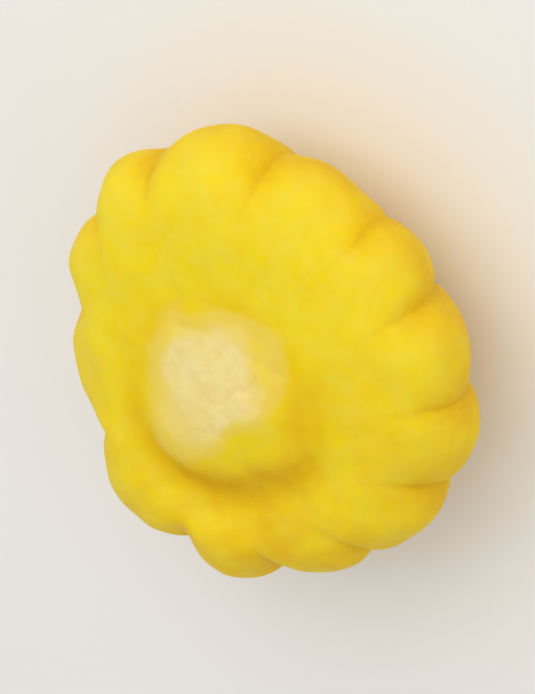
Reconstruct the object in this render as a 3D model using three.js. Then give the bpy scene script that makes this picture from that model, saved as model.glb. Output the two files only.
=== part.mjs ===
// Pattypan squash: a small flat scalloped summer squash with its stem cut off.
// Millimetres, +Z up. It rests on its blossom end, and the cut stem end faces up.
import * as THREE from 'three';

// Driving dimensions
const REST_RADIUS = 5.2; // flat spot at the blossom end that the squash rests on
const RIM_RADIUS = 19.3; // mean radius at the widest plane
const RIM_HEIGHT = 12.8; // height of the widest plane above the rest
const SHOULDER_HEIGHT = 16.95; // crest of the ring of lobes on the stem side
const HEIGHT = 18.4; // top of the dome at the stem end
const STEM_OFFSET = { x: -1.5, y: 2.9 }; // the stem end grew off centre
const FOLD = { azimuth: 132, radius: 8.2, width: 1.8, depth: 0.6 }; // fold beside the dome
const RIM_EXPONENT = 0.65; // under 1, so that lobes are round and the grooves between them narrow
const FACE_EXPONENT = 0.42; // narrower grooves still on the face round the dome
const GROOVE_SOFTNESS = 0.05; // keeps the bottom of a groove from being a knife edge

// Radii over which each of these grows from nothing to full strength
const REACH_ZONE = [10, 19];
const FACE_GROOVE_ZONE = [12, RIM_RADIUS];
const UNDER_GROOVE_ZONE = [9, 19];
const GROOVE_WIDENING_ZONE = [14, 19];
const FADING_ZONE = [15.5, RIM_RADIUS]; // from a groove's share on the face to all of it
const LEVEL_ZONE = [7, 18]; // from leaning with the stem end to not leaning

// Each lobe: azimuth of the groove before it in degrees, that groove's depth, the share of that
// depth left on the face round the dome, and how far the lobe reaches past the mean radius.
const LOBES = [
  { azimuth: -18, groove: 1.5, onFace: 0.6, reach: 1.0 },
  { azimuth: 7, groove: 2.1, onFace: 1.0, reach: -0.2 },
  { azimuth: 37, groove: 2.2, onFace: 1.0, reach: -0.9 },
  { azimuth: 76, groove: 2.7, onFace: 1.0, reach: 2.2 },
  { azimuth: 115, groove: 3.0, onFace: 1.0, reach: 2.7 },
  { azimuth: 140, groove: 1.9, onFace: 1.0, reach: 0.9 },
  { azimuth: 168, groove: 1.7, onFace: 1.0, reach: 0.7 },
  { azimuth: 198, groove: 1.7, onFace: 1.0, reach: 0.6 },
  { azimuth: 224, groove: 1.2, onFace: 0.8, reach: 0.2 },
  { azimuth: 252, groove: 1.3, onFace: 0.8, reach: -0.5 },
  { azimuth: 276, groove: 0.8, onFace: 0.3, reach: -0.5 },
  { azimuth: 308, groove: 1.3, onFace: 0.5, reach: 0.9 },
];

// Mesh density
const COLUMNS_PER_LOBE = 8;
const RINGS = 30;

// Half section through a lobe's crest, from the blossom end up to the stem end: radius, height.
const SECTION = [
  [0, 0],
  [REST_RADIUS, 0],
  [8.2, 0.8],
  [11.2, 2.3],
  [14.0, 4.2],
  [16.4, 6.2],
  [18.2, 8.3],
  [RIM_RADIUS - 0.1, 10.5],
  [RIM_RADIUS, RIM_HEIGHT],
  [18.2, 14.8],
  [16.2, SHOULDER_HEIGHT - 0.75],
  [13.8, SHOULDER_HEIGHT],
  [11.2, SHOULDER_HEIGHT + 0.2],
  [9.0, SHOULDER_HEIGHT + 0.3],
  [7.0, HEIGHT - 0.8],
  [5.0, HEIGHT - 0.4],
  [2.6, HEIGHT - 0.1],
  [0, HEIGHT],
];

const { smoothstep, lerp, degToRad } = THREE.MathUtils;

// Lobe number counted round the rim, past the last one as well.
function lobeAt(index) {
  const turns = Math.floor(index / LOBES.length);
  const lobe = LOBES[index - turns * LOBES.length];
  return { ...lobe, azimuth: lobe.azimuth + 360 * turns };
}

// Middle azimuth of a lobe, halfway between its two grooves.
function crestAzimuth(index) {
  return (lobeAt(index).azimuth + lobeAt(index + 1).azimuth) / 2;
}

// What one column of the surface needs to know: its azimuth, its roundness from 0 in a groove
// to 1 on a crest, the depth of the nearby grooves, the share of it left on the face, and the
// reach of the nearby lobes.
function columnShape(column) {
  const lobeIndex = Math.floor(column / COLUMNS_PER_LOBE) % LOBES.length;
  const across = (column % COLUMNS_PER_LOBE) / COLUMNS_PER_LOBE;
  const before = lobeAt(lobeIndex);
  const after = lobeAt(lobeIndex + 1);
  const azimuth = lerp(before.azimuth, after.azimuth, across);

  const softened = Math.hypot(Math.sin(Math.PI * across), GROOVE_SOFTNESS);
  const roundness = softened / Math.hypot(1, GROOVE_SOFTNESS);
  const over = smoothstep(across, 0, 1);
  const depth = lerp(before.groove, after.groove, over);
  const onFace = lerp(before.onFace, after.onFace, over);

  const first = across < 0.5 ? lobeIndex - 1 : lobeIndex;
  const towardsNext = smoothstep(azimuth, crestAzimuth(first), crestAzimuth(first + 1));
  const reach = lerp(lobeAt(first).reach, lobeAt(first + 1).reach, towardsNext);
  return { azimuth: degToRad(azimuth), roundness, depth, onFace, reach };
}

// Moves a point of the plain turned body to its place on the lobed one.
function place(radius, height, outward, column) {
  const onStemSide = height > RIM_HEIGHT;
  const reachShare = smoothstep(radius, ...REACH_ZONE);
  const left = lerp(column.onFace, 1, smoothstep(radius, ...FADING_ZONE));
  const faceShare = smoothstep(radius, ...FACE_GROOVE_ZONE) ** 2 * left;
  const grooveShare = onStemSide ? faceShare : smoothstep(radius, ...UNDER_GROOVE_ZONE);
  const widening = onStemSide ? smoothstep(radius, ...GROOVE_WIDENING_ZONE) : 1;
  const exponent = lerp(FACE_EXPONENT, RIM_EXPONENT, widening);
  const groove = column.depth * (1 - column.roundness ** exponent);
  const offset = reachShare * column.reach - grooveShare * groove;
  const lobedRadius = radius + outward.x * offset;
  let lobedHeight = height + outward.y * offset;

  let lean = 0;
  if (onStemSide) {
    const facingFold = 0.5 + 0.5 * Math.cos(column.azimuth - degToRad(FOLD.azimuth));
    const fromFold = (radius - FOLD.radius) / FOLD.width;
    lobedHeight -= FOLD.depth * facingFold ** 2 * Math.exp(-(fromFold ** 2));
    lean = 1 - smoothstep(radius, ...LEVEL_ZONE);
  }
  return new THREE.Vector3(
    lobedRadius * Math.cos(column.azimuth) + STEM_OFFSET.x * lean,
    lobedRadius * Math.sin(column.azimuth) + STEM_OFFSET.y * lean,
    Math.max(lobedHeight, 0),
  );
}

// A lathe turns the section, and then each of its points is moved to the lobed surface.
function squashGeometry() {
  const corners = SECTION.map(([radius, height]) => new THREE.Vector2(radius, height));
  const section = new THREE.SplineCurve(corners);
  const rings = section.getPoints(RINGS);
  rings[0].x = 0;
  rings[RINGS].x = 0;
  const outward = rings.map((_, ring) => {
    const tangent = section.getTangent(ring / RINGS);
    return new THREE.Vector2(tangent.y, -tangent.x);
  });

  const columns = LOBES.length * COLUMNS_PER_LOBE;
  const geometry = new THREE.LatheGeometry(rings, columns);
  const position = geometry.getAttribute('position');
  for (let column = 0; column <= columns; column += 1) {
    const shape = columnShape(column % columns);
    rings.forEach((point, ring) => {
      const moved = place(point.x, point.y, outward[ring], shape);
      position.setXYZ(column * rings.length + ring, moved.x, moved.y, moved.z);
    });
  }
  geometry.computeVertexNormals();
  return geometry;
}

const skin = new THREE.MeshStandardMaterial({ color: 0xecc92f, roughness: 0.42, metalness: 0 });
const squash = new THREE.Mesh(squashGeometry(), skin);
squash.name = 'squash';

const group = new THREE.Group();
group.add(squash);

export default group;
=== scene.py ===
"""A baby pattypan squash, trimmed of its stem and lying on its blossom end."""

import logging
import math
from dataclasses import dataclass, field
from enum import Enum

import bpy
import numpy as np
from mathutils import Matrix, Vector, noise


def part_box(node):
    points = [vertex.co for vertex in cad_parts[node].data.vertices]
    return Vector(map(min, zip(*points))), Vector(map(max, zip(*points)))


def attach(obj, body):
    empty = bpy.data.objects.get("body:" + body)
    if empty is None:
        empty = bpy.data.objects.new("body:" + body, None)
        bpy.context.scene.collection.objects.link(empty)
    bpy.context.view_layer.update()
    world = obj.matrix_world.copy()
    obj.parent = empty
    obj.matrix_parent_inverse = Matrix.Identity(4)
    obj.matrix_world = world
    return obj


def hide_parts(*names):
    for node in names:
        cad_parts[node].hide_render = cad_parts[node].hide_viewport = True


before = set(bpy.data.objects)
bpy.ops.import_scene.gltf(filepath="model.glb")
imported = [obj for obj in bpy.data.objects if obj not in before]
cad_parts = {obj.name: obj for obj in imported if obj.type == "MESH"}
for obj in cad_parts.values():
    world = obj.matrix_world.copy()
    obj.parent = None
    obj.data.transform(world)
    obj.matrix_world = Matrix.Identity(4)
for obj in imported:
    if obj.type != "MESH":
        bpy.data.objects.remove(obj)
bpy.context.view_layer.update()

LOG = logging.getLogger("pattypan")
MM = 0.001  # metres in a millimetre
NOISE_LIMIT = 0.5  # the noise function gives numbers from about minus this to plus this
# A colour mix's sockets by number, as it has others with the same names
MIX_SHARE, MIX_UNDER, MIX_OVER, MIX_RESULT = 0, 6, 7, 2


def to_linear(colour: str) -> tuple[float, float, float, float]:
    """Turns an sRGB hex colour into the linear values that Blender works in.

    Args:
        colour: six hex digits, such as "EFD23A".

    Returns:
        Linear red, green and blue, and an alpha of 1.
    """
    channels = [int(colour[start:start + 2], 16) / 255 for start in (0, 2, 4)]
    linear = [c / 12.92 if c <= 0.04045 else ((c + 0.055) / 1.055) ** 2.4 for c in channels]
    return (*linear, 1.0)


def per_metre(size_mm: float) -> float:
    """Gives the texture scale at which one feature of a pattern measures size_mm."""
    return 1 / (size_mm * MM)


def smoothstep(value: np.ndarray, low: float, high: float) -> np.ndarray:
    """Rises smoothly from 0 at low to 1 at high.

    Args:
        value: the numbers to map.
        low: where the rise starts.
        high: where the rise ends.

    Returns:
        Numbers from 0 to 1, in the shape of value.
    """
    share = np.clip((value - low) / (high - low), 0, 1)
    return share * share * (3 - 2 * share)


def bell(value: np.ndarray) -> np.ndarray:
    """Gives 1 where a number is 0, falling smoothly to almost nothing at 2 on both sides."""
    return np.exp(-(value**2))


def facing(azimuth: np.ndarray, side: float) -> np.ndarray:
    """Tells how squarely points face one side of the squash.

    Args:
        azimuth: where the points are, in radians.
        side: the azimuth of that side, in degrees.

    Returns:
        1 on that side, falling smoothly to 0 on the opposite one.
    """
    return (0.5 + 0.5 * np.cos(azimuth - math.radians(side))) ** 2


def spline(points: np.ndarray, where: np.ndarray) -> np.ndarray:
    """Follows a smooth open curve through points spaced evenly in its parameter.

    Args:
        points: the curve's points, one per row.
        where: parameters from 0, the first point, to 1, the last.

    Returns:
        One row for each parameter.
    """
    last = len(points) - 1
    start = np.minimum(np.floor(where * last).astype(int), last - 1)
    share = (where * last - start)[:, None]
    before = points[np.maximum(start - 1, 0)]
    here, there = points[start], points[start + 1]
    after = points[np.minimum(start + 2, last)]
    leave, arrive = (there - before) / 2, (after - here) / 2
    cubic = 2 * here - 2 * there + leave + arrive
    square = 3 * there - 3 * here - 2 * leave - arrive
    return cubic * share**3 + square * share**2 + leave * share + here


def add_node(tree: bpy.types.NodeTree, kind: str, settings: dict, inputs: dict) -> bpy.types.Node:
    """Adds a shader node, with its settings and what feeds it.

    Args:
        tree: the node tree that the node joins.
        kind: the node's type, such as "ShaderNodeMath".
        settings: the node's own options, by name.
        inputs: a value or another node's output for each socket, by name or number.

    Returns:
        The new node.
    """
    made = tree.nodes.new(kind)
    for name, value in settings.items():
        setattr(made, name, value)
    for socket, value in inputs.items():
        if isinstance(value, bpy.types.NodeSocket):
            tree.links.new(value, made.inputs[socket])
        else:
            made.inputs[socket].default_value = value
    return made


def distance_to_line(points: np.ndarray, line: np.ndarray) -> np.ndarray:
    """Measures how far points lie from a line of straight steps.

    Args:
        points: places, one per row.
        line: the line's points, one per row.

    Returns:
        One distance for each point.
    """
    nearest = np.full(len(points), np.inf)
    for start, end in zip(line[:-1], line[1:]):
        step = end - start
        along = np.clip((points - start) @ step / (step @ step), 0, 1)
        nearest = np.minimum(nearest, np.linalg.norm(points - start - along[:, None] * step, axis=1))
    return nearest


class Mask(Enum):
    """What a point of the skin is part of, each kept on the mesh as a number from 0 to 1."""

    SKIN = "skin"  # all of it
    GROOVE_SHADE = "groove"  # painted shade in the creases between lobes
    HOLLOW_SHADE = "hollow"  # painted shade: deeper yellow in the shallow ring round the stem end
    FOLD_SHADE = "fold"  # painted shade in and above the valley on one side of that ring
    CREST = "crest"  # the swollen outer faces of the lobes
    UNDER_SHADE = "under"  # painted shade on the blossom side, from the widest plane down
    SHADED_SIDE = "shaded_side"  # painted shade on the lobes beside the fold, on one side
    VEIN = "vein"  # faint bundles that run from the stem to the flower end
    CUT = "cut"  # thin skin and flesh shaved by the knife at the stem end
    CORE = "core"  # moist flesh laid bare in the middle of the cut
    SCAR = "scar"  # dry cork where the flower fell off


class Grain(Enum):
    """The skin's uneven patterns, by the distance in millimetres from one patch to the next."""

    CLOUD = 3.2  # clouds of stronger and weaker colour
    PATCH = 1.9  # paler patches
    STRAND = 1.3  # vascular strands in the cut
    SPECKLE = 0.8  # clusters of cells
    PORE = 1.1  # breathing pores, each with a pale spot round it


@dataclass(frozen=True)
class Lobe:
    """One swelling of the rim, in millimetres and degrees."""

    azimuth: float  # of the groove before the lobe
    groove: float  # depth of that groove
    reach: float  # how far the lobe reaches past the mean radius
    on_face: float = 1.0  # share of the groove's depth that is left on the stem side's face


@dataclass(frozen=True)
class Lumps:
    """Smooth unevenness of one size."""

    spacing: float  # from one lump to the next, in millimetres
    height: float  # of the highest lumps
    seed: float  # moves the pattern, so that no two are alike

    def over(self, points: np.ndarray) -> np.ndarray:
        """Gives the unevenness at each point.

        Args:
            points: positions in millimetres, with X, Y and Z last.

        Returns:
            Numbers from about -height to height, one for each point.
        """
        moved = points.reshape(-1, 3) / self.spacing + self.seed
        uneven = np.array([noise.noise(Vector(point)) for point in moved]) / NOISE_LIMIT
        return self.height * uneven.reshape(points.shape[:-1])


@dataclass(frozen=True)
class Wrinkle:
    """A fine line pressed into the stem end, in millimetres."""

    points: tuple[tuple[float, float], ...]  # seen from above
    width: float
    depth: float
    samples: int = 24  # points taken along its curve

    def press(self, places: np.ndarray) -> np.ndarray:
        """Gives how deep the wrinkle is at each place.

        Args:
            places: positions in millimetres, with X and Y last.

        Returns:
            A depth for each place.
        """
        line = spline(np.array(self.points, float), np.linspace(0, 1, self.samples))
        away = distance_to_line(places.reshape(-1, 2), line).reshape(places.shape[:-1])
        return self.depth * bell(away / self.width)


@dataclass(frozen=True)
class Columns:
    """The columns of the surface, each from the dome down to the rest, in order round the axis."""

    azimuth: np.ndarray  # in radians
    roundness: np.ndarray  # from 0 in a groove to 1 on a crest
    depth: np.ndarray  # of the nearby grooves, in millimetres
    reach: np.ndarray  # of the nearby lobes past the mean radius, in millimetres
    on_face: np.ndarray  # share of the grooves' depth that is left on the stem side's face


@dataclass(frozen=True)
class Places:
    """Where the points of the skin lie, by ring and by column, in millimetres."""

    radius: np.ndarray  # of each ring on the plain body, before the lobes
    height: np.ndarray  # of each ring on the plain body, before the lobes
    on_top: np.ndarray  # whether a ring is on the stem side of the widest plane
    groove: np.ndarray  # how far the grooves have grown, from 0 to 1
    crease: np.ndarray  # from 0 on a lobe's crest to 1 in a groove
    x: np.ndarray
    y: np.ndarray
    up: np.ndarray  # before the knife cut


@dataclass(frozen=True)
class Layer:
    """One colour laid over the skin, where a mask and a pattern let it show."""

    colour: str
    mask: Mask
    grain: Grain
    low: float  # strength where the pattern is weakest
    high: float  # strength where the pattern is strongest
    weakest: float = 0.36  # the pattern's own value there
    strongest: float = 0.68


@dataclass(frozen=True)
class Relief:
    """Unevenness too fine for the mesh, where a mask and a pattern let it show."""

    mask: Mask
    grain: Grain
    strength: float
    depth_mm: float


@dataclass(frozen=True)
class WaxySkin:
    """Skin of a yellow summer squash: a thin waxy cuticle over moist flesh, grown in place.

    The wax gives a soft satin gloss, and the moist flesh under it lets light in, so that
    shadows stay warm and thin edges glow.
    """

    name: str = "squash_skin_grown_waxy"
    yellow: str = "F9DE0E"  # carotenoid yellow of the swollen faces
    layers: tuple[Layer, ...] = (
        Layer("EEC211", Mask.SKIN, Grain.CLOUD, 0.0, 0.34),  # golden clouds
        Layer("F2DA30", Mask.CREST, Grain.CLOUD, 0.35, 1.0),  # stretched thin over the lobes
        Layer("F6DF50", Mask.SKIN, Grain.PATCH, 0.0, 0.45, 0.42, 0.66),  # pale patches
        Layer("F6E03A", Mask.SKIN, Grain.SPECKLE, 0.0, 0.5),  # pale grain
        Layer("F8E766", Mask.SKIN, Grain.PORE, 0.0, 0.12, 0.42, 0.05),  # pale spots round the pores
        Layer("F6E03A", Mask.VEIN, Grain.CLOUD, 0.0, 0.35),  # streaks along the bundles
        Layer("F1CC02", Mask.HOLLOW_SHADE, Grain.CLOUD, 0.45, 0.9),  # painted shade: deeper yellow round the stem end
        Layer("ECB103", Mask.UNDER_SHADE, Grain.CLOUD, 0.45, 0.9),  # painted shade: deeper gold on the blossom side
        Layer("E9B206", Mask.SHADED_SIDE, Grain.CLOUD, 0.15, 0.6),  # painted shade: deeper gold on the lobes beside the fold
        Layer("E8B508", Mask.GROOVE_SHADE, Grain.SPECKLE, 0.6, 1.0),  # painted shade: darker gold in the grooves
        Layer("DB9E04", Mask.FOLD_SHADE, Grain.CLOUD, 0.5, 0.95),  # painted shade: amber in and above the fold
        Layer("F3D65C", Mask.CUT, Grain.CLOUD, 0.65, 1.0),  # straw yellow where the skin is shaved thin
        Layer("F9E7A8", Mask.CORE, Grain.CLOUD, 1.0, 0.72),  # cream flesh, clouded with yellow
        Layer("E9CF6E", Mask.CORE, Grain.STRAND, 0.0, 0.42),  # strands in the flesh
        Layer("A9874C", Mask.SCAR, Grain.SPECKLE, 0.5, 1.0),  # brown cork
    )
    reliefs: tuple[Relief, ...] = (
        Relief(Mask.SKIN, Grain.SPECKLE, 0.14, 0.15),
        Relief(Mask.SKIN, Grain.PORE, 0.06, 0.1),
        Relief(Mask.CUT, Grain.STRAND, 0.22, 0.22),
        Relief(Mask.SCAR, Grain.SPECKLE, 0.6, 0.3),
    )
    grain_detail: float = 4.0  # how many finer patterns ride on each of the clouded ones
    grain_roughness: float = 0.55  # how strong each of those is beside the one before it
    roughness: float = 0.58
    duller: tuple[tuple[Mask, float], ...] = ((Mask.CUT, 0.1), (Mask.SCAR, 0.25))
    shine: float = 0.2  # of the skin under the wax; 0.5 is plain
    wax_weight: float = 0.02
    wax_roughness: float = 0.35
    index: float = 1.38  # moist plant tissue under wax
    depth_mm: tuple[float, float, float] = (2.6, 1.5, 0.35)  # how far red, green and blue travel
    translucency: float = 0.5

    def make(self) -> bpy.types.Material:
        """Builds the material's nodes.

        Returns:
            The finished material.
        """
        material = bpy.data.materials.new(self.name)
        material.use_nodes = True
        tree = material.node_tree
        tree.nodes.clear()
        masks = {
            mask: add_node(tree, "ShaderNodeAttribute", {"attribute_name": mask.value}, {}).outputs["Fac"]
            for mask in Mask
        }
        grains = self.grains(tree)
        shader = add_node(tree, "ShaderNodeBsdfPrincipled", {}, {
            "Base Color": self.colour(tree, masks, grains),
            "Roughness": self.dullness(tree, masks),
            "IOR": self.index,
            "Specular IOR Level": self.shine,
            "Subsurface Weight": self.translucency,
            "Subsurface Radius": self.depth_mm,
            "Subsurface Scale": MM,
            "Coat Weight": self.wax_weight,
            "Coat Roughness": self.wax_roughness,
            "Normal": self.relief(tree, masks, grains),
        })
        add_node(tree, "ShaderNodeOutputMaterial", {}, {"Surface": shader.outputs["BSDF"]})
        return material

    def grains(self, tree: bpy.types.NodeTree) -> dict[Grain, bpy.types.NodeSocket]:
        """Adds every pattern at its real size: cells for the pores, and clouds for the rest.

        Args:
            tree: the material's node tree.

        Returns:
            The socket of each pattern.
        """
        place = add_node(tree, "ShaderNodeTexCoord", {}, {}).outputs["Object"]
        made = {
            grain: add_node(tree, "ShaderNodeTexNoise", {}, {
                "Vector": place, "Scale": per_metre(grain.value),
                "Detail": self.grain_detail, "Roughness": self.grain_roughness,
            }).outputs["Fac"]
            for grain in Grain
            if grain is not Grain.PORE
        }
        made[Grain.PORE] = add_node(tree, "ShaderNodeTexVoronoi", {"feature": "F1"}, {
            "Vector": place, "Scale": per_metre(Grain.PORE.value), "Randomness": 1.0,
        }).outputs["Distance"]
        return made

    def colour(
        self,
        tree: bpy.types.NodeTree,
        masks: dict[Mask, bpy.types.NodeSocket],
        grains: dict[Grain, bpy.types.NodeSocket],
    ) -> bpy.types.NodeSocket:
        """Lays the skin's colours over one another, in their order.

        Args:
            tree: the material's node tree.
            masks: the socket of each mask.
            grains: the socket of each pattern.

        Returns:
            The colour's socket.
        """
        colour = to_linear(self.yellow)
        for layer in self.layers:
            strength = add_node(tree, "ShaderNodeMapRange", {}, {
                "Value": grains[layer.grain], "From Min": layer.weakest, "From Max": layer.strongest,
                "To Min": layer.low, "To Max": layer.high,
            }).outputs["Result"]
            share = add_node(tree, "ShaderNodeMath", {"operation": "MULTIPLY", "use_clamp": True}, {
                0: strength, 1: masks[layer.mask],
            }).outputs["Value"]
            colour = add_node(tree, "ShaderNodeMix", {"data_type": "RGBA"}, {
                MIX_SHARE: share, MIX_UNDER: colour, MIX_OVER: to_linear(layer.colour),
            }).outputs[MIX_RESULT]
        return colour

    def dullness(
        self, tree: bpy.types.NodeTree, masks: dict[Mask, bpy.types.NodeSocket]
    ) -> bpy.types.NodeSocket:
        """Makes the parts with no wax on them rougher than the skin.

        Args:
            tree: the material's node tree.
            masks: the socket of each mask.

        Returns:
            The roughness's socket.
        """
        rough = self.roughness
        for mask, extra in self.duller:
            rough = add_node(tree, "ShaderNodeMath", {"operation": "MULTIPLY_ADD"}, {
                0: masks[mask], 1: extra, 2: rough,
            }).outputs["Value"]
        return rough

    def relief(
        self,
        tree: bpy.types.NodeTree,
        masks: dict[Mask, bpy.types.NodeSocket],
        grains: dict[Grain, bpy.types.NodeSocket],
    ) -> bpy.types.NodeSocket:
        """Adds the fine relief: the skin's grain and pores, the cut's strands and the scar's cork.

        Args:
            tree: the material's node tree.
            masks: the socket of each mask.
            grains: the socket of each pattern.

        Returns:
            The socket of the changed normal.
        """
        normal = add_node(tree, "ShaderNodeNewGeometry", {}, {}).outputs["Normal"]
        for relief in self.reliefs:
            height = add_node(tree, "ShaderNodeMath", {"operation": "MULTIPLY"}, {
                0: grains[relief.grain], 1: masks[relief.mask],
            }).outputs["Value"]
            normal = add_node(tree, "ShaderNodeBump", {}, {
                "Height": height, "Strength": relief.strength, "Distance": relief.depth_mm * MM,
                "Normal": normal,
            }).outputs["Normal"]
        return normal


@dataclass(frozen=True)
class MattLaminate:
    """The table's top: pale laminate pressed with a matt plate, so it mirrors nothing."""

    name: str = "table_laminate_matt"
    colour: str = "F7F5F1"
    roughness: float = 0.7

    def make(self) -> bpy.types.Material:
        """Builds the material's nodes.

        Returns:
            The finished material.
        """
        material = bpy.data.materials.new(self.name)
        material.use_nodes = True
        shader = material.node_tree.nodes["Principled BSDF"]
        shader.inputs["Base Color"].default_value = to_linear(self.colour)
        shader.inputs["Roughness"].default_value = self.roughness
        return material


@dataclass
class Squash:
    """The whole grown body: twelve uneven lobes round a low dome. All sizes are in millimetres."""

    rest_radius: float = 5.2  # flat spot at the blossom end that the squash rests on
    rim_radius: float = 19.3  # mean radius at the widest plane
    rim_height: float = 12.8  # height of the widest plane above the rest
    shoulder_height: float = 16.95  # crest of the ring of lobes on the stem side
    height: float = 18.4  # top of the dome at the stem end
    # Half section through a lobe's crest, from the top of the dome down to the rest: radius, height
    section: tuple[tuple[float, float], ...] = (
        (0, height), (2.6, height - 0.1), (5.0, height - 0.4), (7.0, height - 0.8),
        (9.0, shoulder_height + 0.3), (11.2, shoulder_height + 0.2), (13.8, shoulder_height),
        (16.2, shoulder_height - 0.75), (18.2, 14.8), (rim_radius, rim_height),
        (rim_radius - 0.1, 10.5), (18.2, 8.3), (16.4, 6.2), (14.0, 4.2), (11.2, 2.3), (8.2, 0.8),
        (rest_radius, 0.0), (0, 0.0),
    )
    lobes: tuple[Lobe, ...] = (
        Lobe(-18, 1.5, 1.0, 0.6), Lobe(7, 2.1, -0.2), Lobe(37, 2.2, -0.9), Lobe(76, 2.7, 2.2),
        Lobe(115, 3.0, 2.7), Lobe(140, 1.9, 0.9), Lobe(168, 1.7, 0.7), Lobe(198, 1.7, 0.6),
        Lobe(224, 1.2, 0.2, 0.8), Lobe(252, 1.3, -0.5, 0.8), Lobe(276, 0.8, -0.5, 0.3),
        Lobe(308, 1.3, 0.9, 0.5),
    )
    rim_exponent: float = 0.65  # under 1, so that lobes are round and the grooves between them narrow
    face_exponent: float = 0.42  # narrower grooves still on the face round the dome
    groove_softness: float = 0.05  # keeps the bottom of a groove from being a knife edge
    # Radii over which each of these grows from nothing to full strength
    reach_zone: tuple[float, float] = (10, 19)
    face_groove_zone: tuple[float, float] = (12, rim_radius)
    under_groove_zone: tuple[float, float] = (9, 19)
    groove_widening_zone: tuple[float, float] = (14, 19)
    fading_zone: tuple[float, float] = (15.5, rim_radius)  # from a groove's share on the face to all
    level_zone: tuple[float, float] = (7, 18)  # from leaning with the stem end to not leaning
    stem_offset: tuple[float, float] = (-1.5, 2.9)  # the stem end grew off centre
    fold_azimuth: float = 132.0
    fold_radius: float = 8.2
    fold_width: float = 1.8
    fold_depth: float = 0.6
    # Radii over which each colour grows from nothing to full strength, unless it says otherwise
    hollow_shade_zone: tuple[float, float] = (5.5, 8.5)
    hollow_shade_end: tuple[float, float] = (8.5, 12)  # and over which the painted shade in the hollow fades again
    shaded_side_zone: tuple[float, float] = (8, 13)
    crest_zone: tuple[float, float] = (12, 19)
    crest_share: tuple[float, float] = (0.5, 1.0)  # of a lobe's roundness
    groove_shade: tuple[float, float] = (1.3, 1.5)  # strength and sharpness of the painted shade in the grooves
    vein_zone: tuple[float, float] = (7, 13)
    vein_share: tuple[float, float] = (0.15, 0.75)  # of the veins' pattern
    under_shade_zone: tuple[float, float] = (9.5, 16.4)  # heights over which the painted shade on the blossom side fades
    shade_azimuth: float = 144.0  # the side where shade is painted, on the lobes and as amber round the fold
    fold_shade_radius: float = 7.6
    fold_shade_width: float = 2.5
    vein_circle: float = 6.0  # the veins' pattern is read on this circle, so that it runs lengthwise
    vein_drift: float = 0.04  # how fast it changes along a vein
    veins: Lumps = Lumps(0.34, 1.0, 2.2)
    cut_centre: tuple[float, float] = (0.0, 2.8)
    # Radius of the knife cut's edge at even steps of azimuth, from +X round through +Y
    cut_edge: tuple[float, ...] = (7.9, 5.9, 7.1, 7.3, 5.0, 4.0, 5.6, 8.7, 9.0, 9.1)
    cut_flat: float = 0.78  # share of the cut's width that the knife made flat
    cut_rise: float = 0.5  # how far the dome may stay above the plane of the cut's edge
    flat_zone: tuple[float, float] = (0.8, 1.08)  # shares over which the flat gives way to the dome
    cut_zone: tuple[float, float] = (0.86, 1.07)  # and over which shaved skin gives way to whole skin
    core_zone: tuple[float, float] = (0.52, 0.84)  # and bare flesh to shaved skin
    core_shade_zone: tuple[float, float] = (2.0, 7.0)  # Y over which painted shade takes the cream off the bare flesh
    core_shade_loss: float = 0.6  # how much of the cream that painted shade takes at the end of that
    edge_waver: tuple[Lumps, ...] = (Lumps(3.0, 0.1, 8.4), Lumps(0.9, 0.03, 4.1))
    lip_azimuth: float = -75.0  # middle of the stretch where the skin stands up beside the cut
    lip_spread: float = 48.0  # degrees to each side
    lip_place: float = 0.93  # share of the flat's width
    lip_width: float = 0.1
    lip_height: float = 0.3
    edge_band: float = 0.05  # shares to each side of the flat's edge that fix the cut's plane
    wrinkles_end: float = 2.0  # share of the flat's width past which there are no wrinkles
    wrinkles: tuple[Wrinkle, ...] = (
        Wrinkle(((6.0, 0.0), (4.8, -1.6), (3.3, -3.0), (1.0, -3.5), (-2.2, -4.4)), 0.6, 0.26),
        Wrinkle(((-0.6, 2.2), (-1.1, 1.1), (-0.9, -0.3), (-1.5, -1.4), (-1.3, -2.6)), 0.3, 0.12),
        Wrinkle(((3.4, 3.9), (2.4, 2.6), (2.1, 1.0)), 0.5, 0.06),
        Wrinkle(((-1.2, 5.6), (-2.3, 4.4), (-3.4, 3.8)), 0.22, 0.07),
    )
    swells: tuple[Lumps, ...] = (Lumps(7.0, 0.22, 3.1), Lumps(2.6, 0.1, 11.7))
    steady_zone: tuple[float, float] = (4.5, 8)  # radii over which the rest gives way to swells
    steady_height: float = 1.0  # above this the swells are whole
    scar_edge: tuple[float, float] = (1.95, 2.6)  # radii over which the cork gives way to skin
    scar_depth: float = 0.35
    cork: Lumps = Lumps(0.7, 0.6, 5.3)
    cork_middle: float = 0.7  # mean share of the scar's depth that the cork is sunk by
    cork_least: float = 0.1  # least share, so that it is never level with the skin
    columns_per_lobe: int = 36
    rings: int = 200
    masks: dict[Mask, np.ndarray] = field(default_factory=dict)

    def build(self) -> bpy.types.Object:
        """Makes the skin's mesh and the numbers that its finish reads.

        Returns:
            The squash, in metres, resting at height 0.
        """
        points = self.surface()
        rings, columns, _ = points.shape
        inner = points[1:-1].reshape(-1, 3)
        vertices = np.vstack([inner, points[0, :1], points[-1, :1]])
        faces = self.faces(rings - 2, columns)
        mesh = bpy.data.meshes.new("pattypan_squash")
        mesh.from_pydata((vertices * MM).tolist(), [], faces)
        for mask, values in self.masks.items():
            flat = np.concatenate([values[1:-1].ravel(), values[0, :1], values[-1, :1]])
            layer = mesh.attributes.new(mask.value, "FLOAT", "POINT")
            layer.data.foreach_set("value", flat.astype(np.float32))
        self.roughen(mesh)
        mesh.shade_smooth()
        made = bpy.data.objects.new("pattypan_squash", mesh)
        bpy.context.scene.collection.objects.link(made)
        return made

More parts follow.
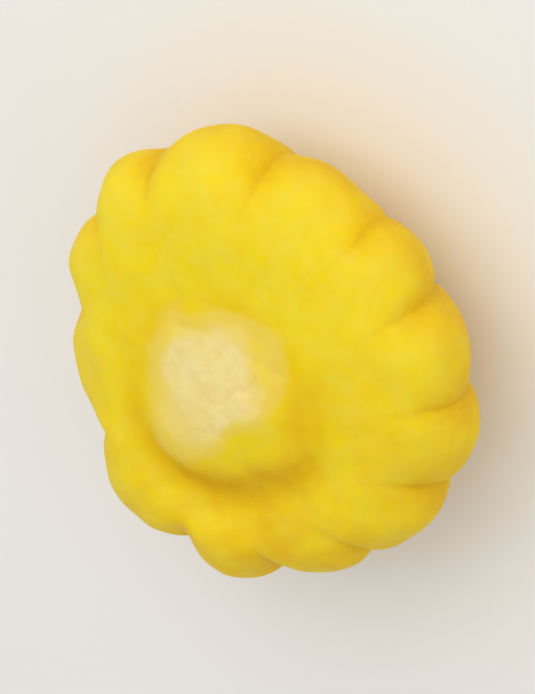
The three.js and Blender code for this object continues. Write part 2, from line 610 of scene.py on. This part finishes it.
    def surface(self) -> np.ndarray:
        """Works out the lobed surface, and keeps its masks.

        Returns:
            Points by ring, from the dome down, and by column, round the axis.
        """
        share = np.linspace(0, 1, self.rings + 1)
        ring = spline(np.array(self.section, float), share)
        tangent = np.gradient(ring, axis=0)
        outward = np.stack([-tangent[:, 1], tangent[:, 0]], 1)
        outward /= np.linalg.norm(outward, axis=1)[:, None]
        radius, height = ring[:, :1], ring[:, 1:]
        on_top = share[:, None] < np.interp(self.rim_height, ring[::-1, 1], share[::-1])

        columns = self.columns()
        left = columns.on_face + (1 - columns.on_face) * smoothstep(radius, *self.fading_zone)
        face_share = smoothstep(radius, *self.face_groove_zone) ** 2 * left
        groove_share = np.where(on_top, face_share, smoothstep(radius, *self.under_groove_zone))
        widening = np.where(on_top, smoothstep(radius, *self.groove_widening_zone), 1)
        exponent = self.face_exponent + (self.rim_exponent - self.face_exponent) * widening
        crease = 1 - columns.roundness**exponent
        reach = smoothstep(radius, *self.reach_zone) * columns.reach
        offset = reach - groove_share * columns.depth * crease
        around = radius + outward[:, :1] * offset
        up = height + outward[:, 1:] * offset

        valley = bell((radius - self.fold_radius) / self.fold_width) * on_top
        up = up - self.fold_depth * facing(columns.azimuth, self.fold_azimuth) * valley
        lean = (1 - smoothstep(radius, *self.level_zone)) * on_top
        x = around * np.cos(columns.azimuth) + self.stem_offset[0] * lean
        y = around * np.sin(columns.azimuth) + self.stem_offset[1] * lean

        edge_share = np.where(on_top, self.share_of_cut(x, y), np.inf)
        sliced = self.slice_stem(x, y, up, edge_share / self.cut_flat)
        points = np.stack([x, y, np.maximum(sliced, 0)], -1)
        places = Places(radius, height, on_top, groove_share, crease, x, y, up)
        self.masks = self.grown_masks(columns, places) | self.cut_masks(points, edge_share)
        return points

    def grown_masks(self, columns: Columns, places: Places) -> dict[Mask, np.ndarray]:
        """Tells what each point of the skin grew to be.

        Args:
            columns: the columns of the surface.
            places: where the points lie.

        Returns:
            Numbers from 0 to 1 for each mask, by ring and by column.
        """
        radius, on_top = places.radius, places.on_top
        circle_x = self.vein_circle * np.cos(columns.azimuth)
        circle_y = self.vein_circle * np.sin(columns.azimuth)
        along = self.vein_drift * places.height
        vein = self.veins.over(np.stack(np.broadcast_arrays(circle_x, circle_y, along), -1))
        # painted shade: strongest on the side that faces this azimuth
        shade_side = facing(columns.azimuth, self.shade_azimuth)
        # painted shade in a ring round the fold's valley
        fold_shade_ring = bell((radius - self.fold_shade_radius) / self.fold_shade_width)
        strength, sharpness = self.groove_shade
        # painted shade: deeper yellow in the ring round the stem end
        hollow = smoothstep(radius, *self.hollow_shade_zone) * (1 - smoothstep(radius, *self.hollow_shade_end))
        swollen = smoothstep(columns.roundness, *self.crest_share)
        masks = {
            Mask.SKIN: np.ones(1),
            # painted shade in the grooves
            Mask.GROOVE_SHADE: np.clip(places.groove * strength * places.crease**sharpness, 0, 1),
            Mask.HOLLOW_SHADE: hollow * on_top,
            # painted shade: amber in and above the fold, on one side
            Mask.FOLD_SHADE: shade_side * fold_shade_ring * on_top,
            # painted shade on the lobes on that side
            Mask.SHADED_SIDE: shade_side * smoothstep(radius, *self.shaded_side_zone),
            Mask.CREST: smoothstep(radius, *self.crest_zone) * swollen,
            # painted shade, darker towards the bottom
            Mask.UNDER_SHADE: 1 - smoothstep(places.up, *self.under_shade_zone),
            Mask.VEIN: smoothstep(vein, *self.vein_share) * smoothstep(radius, *self.vein_zone),
            Mask.SCAR: (1 - smoothstep(np.hypot(places.x, places.y), *self.scar_edge)) * ~on_top,
        }
        return {mask: np.broadcast_to(values, places.x.shape) for mask, values in masks.items()}

    def cut_masks(self, points: np.ndarray, edge_share: np.ndarray) -> dict[Mask, np.ndarray]:
        """Tells where the knife shaved the skin thin, and where it laid the flesh bare, with painted
        shade taking the flesh's cream off towards +Y.

        Args:
            points: the sliced surface.
            edge_share: where each point lies between the cut's middle, 0, and its edge, 1.

        Returns:
            Numbers from 0 to 1 for each mask, by ring and by column.
        """
        ragged = edge_share + sum(waver.over(points) for waver in self.edge_waver)
        # painted shade: the flesh's cream fades towards +Y
        kept = 1 - self.core_shade_loss * smoothstep(points[..., 1], *self.core_shade_zone)
        return {
            Mask.CUT: 1 - smoothstep(ragged, *self.cut_zone),
            Mask.CORE: (1 - smoothstep(ragged, *self.core_zone)) * kept,
        }

    def columns(self) -> Columns:
        """Gives each column of the surface its place among the lobes.

        Returns:
            The columns, in order from the first lobe's groove.
        """
        count = len(self.lobes)
        around = self.lobes + self.lobes[:1]
        starts = np.array([lobe.azimuth for lobe in self.lobes] + [self.lobes[0].azimuth + 360])
        depths = np.array([lobe.groove for lobe in around])
        on_face = np.array([lobe.on_face for lobe in around])
        reaches = np.array([lobe.reach for lobe in self.lobes])
        number = np.repeat(np.arange(count), self.columns_per_lobe)
        across = np.tile(np.arange(self.columns_per_lobe) / self.columns_per_lobe, count)
        azimuth = starts[number] + across * (starts[number + 1] - starts[number])
        roundness = np.hypot(np.sin(np.pi * across), self.groove_softness)
        roundness /= math.hypot(1, self.groove_softness)
        over = smoothstep(across, 0, 1)
        depth = depths[number] + (depths[number + 1] - depths[number]) * over
        on_face = on_face[number] + (on_face[number + 1] - on_face[number]) * over
        crests = (starts[:-1] + starts[1:]) / 2
        first = np.where(across < 0.5, number - 1, number)
        crest_before = crests[first % count] + 360 * (first // count)
        crest_after = crests[(first + 1) % count] + 360 * ((first + 1) // count)
        towards = smoothstep((azimuth - crest_before) / (crest_after - crest_before), 0, 1)
        reach = reaches[first % count] * (1 - towards) + reaches[(first + 1) % count] * towards
        return Columns(np.radians(azimuth), roundness, depth, reach, on_face)

    def share_of_cut(self, x: np.ndarray, y: np.ndarray) -> np.ndarray:
        """Tells where points lie between the knife cut's middle and its wavering edge.

        Args:
            x: places along X.
            y: places along Y.

        Returns:
            0 in the middle, 1 on the edge, and more outside.
        """
        from_centre = np.hypot(x - self.cut_centre[0], y - self.cut_centre[1])
        turn = np.arctan2(y - self.cut_centre[1], x - self.cut_centre[0]) % (2 * np.pi) / (2 * np.pi)
        edge = np.array(self.cut_edge)
        overlap = 2  # points repeated at each end, so that the curve closes smoothly
        closed = np.concatenate([edge[-overlap:], edge, edge[:overlap + 1]])
        where = (turn * len(edge) + overlap) / (len(closed) - 1)
        limit = spline(closed[:, None], where.ravel())[:, 0].reshape(x.shape)
        return from_centre / limit

    def slice_stem(
        self, x: np.ndarray, y: np.ndarray, up: np.ndarray, edge_share: np.ndarray
    ) -> np.ndarray:
        """Flattens the dome where the knife took the stem off, and raises the skin beside it.

        Args:
            x: places along X.
            y: places along Y.
            up: heights before the cut.
            edge_share: where each point lies between the flat's middle, 0, and its edge, 1.

        Returns:
            Heights after the cut.
        """
        on_edge = np.abs(edge_share - 1) < self.edge_band
        sides = np.stack([x[on_edge], y[on_edge], np.ones(on_edge.sum())], 1)
        tilt_x, tilt_y, base = np.linalg.lstsq(sides, up[on_edge], rcond=None)[0]
        plane = tilt_x * x + tilt_y * y + base
        inside = 1 - smoothstep(edge_share, *self.flat_zone)
        up = up + (np.minimum(plane + self.cut_rise, up) - up) * inside

        turn = np.degrees(np.arctan2(y - self.cut_centre[1], x - self.cut_centre[0]))
        from_lip = ((turn - self.lip_azimuth + 180) % 360 - 180) / self.lip_spread
        beside_lip = (edge_share - self.lip_place) / self.lip_width
        up = up + self.lip_height * bell(from_lip) * bell(beside_lip)
        places = np.stack([x, y], -1)
        near_cut = edge_share < self.wrinkles_end
        return up - near_cut * sum(wrinkle.press(places) for wrinkle in self.wrinkles)

    def roughen(self, mesh: bpy.types.Mesh) -> None:
        """Moves the skin in and out a little, as growth leaves it, and sinks the scar.

        Args:
            mesh: the squash's mesh, in metres.
        """
        count = len(mesh.vertices)
        points = np.empty(count * 3)
        mesh.vertices.foreach_get("co", points)
        points = points.reshape(-1, 3) / MM
        normals = np.empty(count * 3)
        mesh.vertex_normals.foreach_get("vector", normals)
        normals = normals.reshape(-1, 3)
        off_rest = smoothstep(np.hypot(points[:, 0], points[:, 1]), *self.steady_zone)
        free = np.where(points[:, 2] > self.steady_height, 1, off_rest)
        uneven = sum(swell.over(points) for swell in self.swells)
        moved = points + normals * (uneven * free)[:, None]
        scar = np.empty(count, np.float32)
        mesh.attributes[Mask.SCAR.value].data.foreach_get("value", scar)
        crumbled = np.maximum(self.cork_middle + self.cork.over(points), self.cork_least)
        moved[:, 2] += scar * self.scar_depth * crumbled
        moved[:, 2] = np.maximum(moved[:, 2], 0)
        mesh.vertices.foreach_set("co", (moved * MM).ravel())
        mesh.update()

    @staticmethod
    def faces(rings: int, columns: int) -> list[tuple[int, ...]]:
        """Joins rings of vertices into quads, and closes both ends with a fan.

        Args:
            rings: number of full rings.
            columns: vertices in each ring.

        Returns:
            Vertex numbers of each face, facing outward.
        """
        top, bottom = rings * columns, rings * columns + 1
        made = []
        for column in range(columns):
            after = (column + 1) % columns
            made.append((top, column, after))
            for ring in range(rings - 1):
                upper, lower = ring * columns, (ring + 1) * columns
                made.append((upper + column, lower + column, lower + after, upper + after))
            last = (rings - 1) * columns
            made.append((last + after, last + column, bottom))
        return made

    def dress(self, made: bpy.types.Object, skin: WaxySkin) -> None:
        """Gives the squash its finish and its place in the frame.

        Args:
            made: the squash.
            skin: its finish.
        """
        made.data.materials.append(skin.make())
        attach(made, "root")
        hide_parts("squash")
        LOG.info("%s: %d vertices, %d faces", made.name, len(made.data.vertices), len(made.data.polygons))


@dataclass(frozen=True)
class Lamp:
    """A soft square light, with its sizes in metres and its power in watts."""

    name: str
    towards: tuple[float, float, float]  # direction from the squash to the light
    away: float
    side: float
    watts: float

    def hang(self, aim: Vector) -> None:
        """Adds the light.

        Args:
            aim: the point that it shines at.
        """
        data = bpy.data.lights.new(self.name, "AREA")
        data.size = self.side
        data.energy = self.watts
        lamp = bpy.data.objects.new(self.name, data)
        direction = Vector(self.towards).normalized()
        lamp.location = aim + direction * self.away
        lamp.rotation_euler = direction.to_track_quat("Z", "Y").to_euler()
        bpy.context.scene.collection.objects.link(lamp)


@dataclass
class Studio:
    """A plain pale table under soft light, and a camera that looks down on the stem end."""

    floor_size: float = 4.0  # metres along each side
    elevation: float = 50.0  # degrees above the table
    roll: float = 131.0  # degrees that the picture is turned anticlockwise
    lens: float = 200.0  # millimetres
    nearest: float = 0.01  # metres from the camera at which things start to show
    frame_size: tuple[int, int] = (535, 694)
    fill: float = 0.88  # share of the frame's width that the squash takes
    lamps: tuple[Lamp, ...] = (
        Lamp("key", (0.45, -0.46, 0.76), 0.5, 0.45, 1.12),
        Lamp("fill", (-0.3, -0.85, 0.5), 0.6, 0.5, 0.22),
    )
    room_colour: str = "F4F3F0"
    room_strength: float = 0.66

    def build(self, low: Vector, high: Vector) -> None:
        """Makes the table, the lights and the camera.

        Args:
            low: the squash's lowest corner.
            high: the squash's highest corner.
        """
        self.table()
        centre = (low + high) / 2
        self.camera(centre, (high - low).x)
        for lamp in self.lamps:
            lamp.hang(centre)
        world = bpy.data.worlds.new("soft_room")
        world.use_nodes = True
        back = world.node_tree.nodes["Background"]
        back.inputs["Color"].default_value = to_linear(self.room_colour)
        back.inputs["Strength"].default_value = self.room_strength
        bpy.context.scene.world = world
        bpy.context.scene.view_settings.view_transform = "Standard"

    def table(self) -> None:
        """Lays the table's top at height 0."""
        half = self.floor_size / 2
        corners = [(-half, -half, 0), (half, -half, 0), (half, half, 0), (-half, half, 0)]
        mesh = bpy.data.meshes.new("table")
        mesh.from_pydata(corners, [], [(0, 1, 2, 3)])
        mesh.materials.append(MattLaminate().make())
        top = bpy.data.objects.new("table", mesh)
        bpy.context.scene.collection.objects.link(top)

    def camera(self, centre: Vector, width: float) -> None:
        """Aims a long lens at the squash.

        Args:
            centre: middle of the squash.
            width: how wide the squash is, in metres.
        """
        angle = math.radians(self.elevation)
        back = Vector((0, -math.cos(angle), math.sin(angle)))
        data = bpy.data.cameras.new("camera")
        data.lens = self.lens
        data.clip_start = self.nearest
        camera = bpy.data.objects.new("camera", data)
        bpy.context.scene.collection.objects.link(camera)
        across = width / self.fill
        tall = across * self.frame_size[1] / self.frame_size[0]
        distance = tall * self.lens / data.sensor_width
        turn = back.to_track_quat("Z", "Y").to_matrix().to_4x4()
        roll = Matrix.Rotation(-math.radians(self.roll), 4, "Z")
        camera.matrix_world = Matrix.Translation(centre + back * distance) @ turn @ roll
        bpy.context.scene.camera = camera


def main() -> None:
    """Builds the squash and the studio round it."""
    logging.basicConfig(level=logging.INFO, format="%(name)s: %(message)s")
    squash = Squash()
    squash.dress(squash.build(), WaxySkin())
    Studio().build(*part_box("squash"))


if __name__ == "__main__":
    main()
